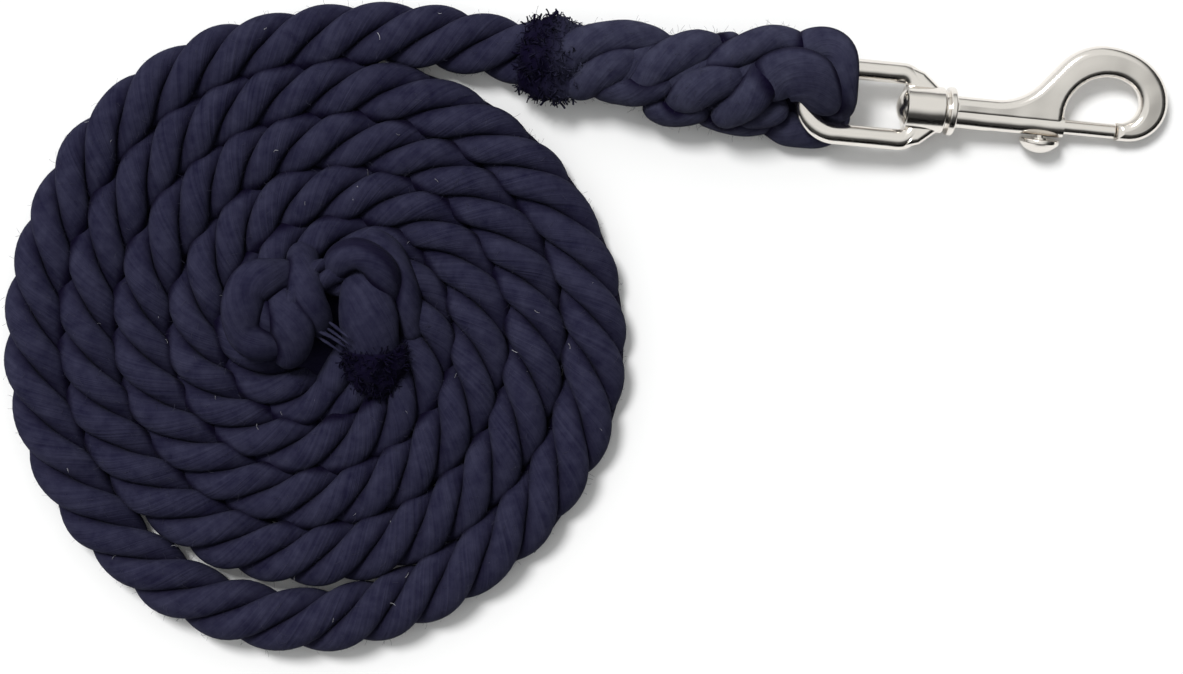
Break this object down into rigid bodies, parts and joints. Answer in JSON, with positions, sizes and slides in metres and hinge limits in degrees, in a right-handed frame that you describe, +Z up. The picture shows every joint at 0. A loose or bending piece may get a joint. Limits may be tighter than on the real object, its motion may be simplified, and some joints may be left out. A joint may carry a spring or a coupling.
{
  "type": "lead rope",
  "caption": "Coiled three-strand cotton lead rope with a back-spliced crown-knotted end and a swivel bolt snap held in an eye splice.",
  "frame": {"origin": "on the ground plane, under the middle of the bolt snap's box as it lies with the knob down", "axes": "+Z up; +X along the snap from the rope to the hook; +Y to the side that the hook bulges to; the coil lies towards -X and -Y"},
  "size_m": [0.4066, 0.2257, 0.0405],
  "materials": {
    "rope": "soft spun cotton, dark navy",
    "tuft": "frayed cotton, dark navy",
    "plated_metal": "bright nickel plate on cast metal",
    "spring": "drawn spring steel"
  },
  "bodies": {
    "rope": {"rope_coil": "rope", "lead_rope": "rope", "splice_tuft": "tuft", "eye_splice": "rope", "rope_eye": "rope", "back_splice": "rope", "crown_knot": "rope", "end_tuft": "tuft"},
    "eye": {"swivel_eye": "plated_metal"},
    "snap": {"swivel_rivet": "plated_metal", "snap_body": "plated_metal", "bolt_spring": "spring"},
    "bolt": {"snap_bolt": "plated_metal", "thumb_knob": "plated_metal"}
  },
  "joints": [
    {"name": "eye_swing", "type": "hinge", "parent": "rope", "child": "eye", "pos_m": [-0.0622, 0.00015, 0.01672], "axis": [-0.0872, -0.9962, 0], "range_deg": [-80, 80]},
    {"name": "snap_swivel", "type": "hinge", "parent": "eye", "child": "snap", "pos_m": [-0.01234, -0.00421, 0.01172], "axis": [0.9913, -0.0867, -0.0993], "continuous": true},
    {"name": "bolt_slide", "type": "slide", "parent": "snap", "child": "bolt", "axis": [-0.9913, 0.0867, 0.0993], "range_m": [0, 0.0184], "stiffness_N_per_m": 250, "springref_m": -0.02, "deforming": ["bolt_spring"]}
  ]
}
